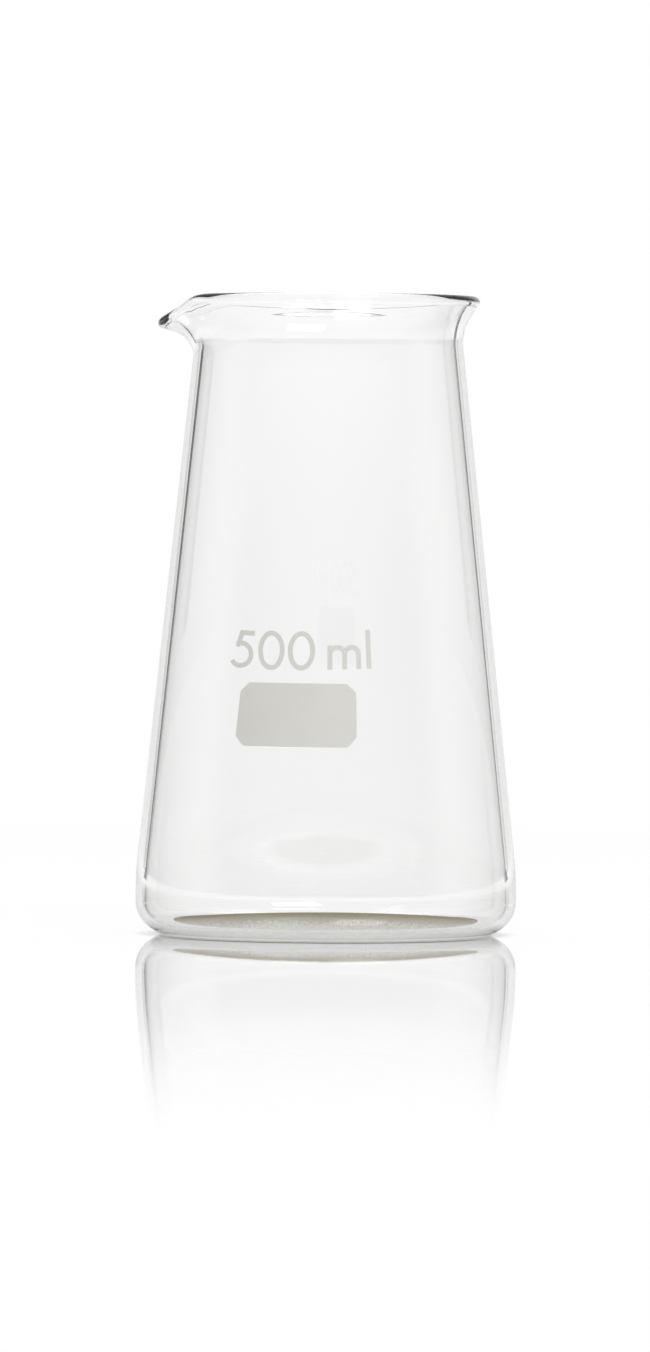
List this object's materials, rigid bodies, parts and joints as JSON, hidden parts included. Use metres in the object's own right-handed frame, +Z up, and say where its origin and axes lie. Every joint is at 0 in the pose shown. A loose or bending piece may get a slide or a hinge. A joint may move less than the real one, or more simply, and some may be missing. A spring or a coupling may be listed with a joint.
{
  "type": "conical beaker",
  "caption": "Conical glass laboratory beaker with a rounded foot corner, narrow neck, turned-out beaded rim and a pulled pouring spout.",
  "frame": {"origin": "centre of the foot on the surface the beaker stands on", "axes": "+Z up along the axis of the cone, pouring spout towards -X, capacity mark and writing panel towards -Y"},
  "size_m": [0.0896, 0.0896, 0.1501],
  "materials": {
    "borosilicate_glass": "clear, fire-polished",
    "marking_enamel": "fired-on white enamel, print on the front"
  },
  "bodies": {
    "root": {"beaker": "borosilicate_glass"}
  },
  "joints": []
}
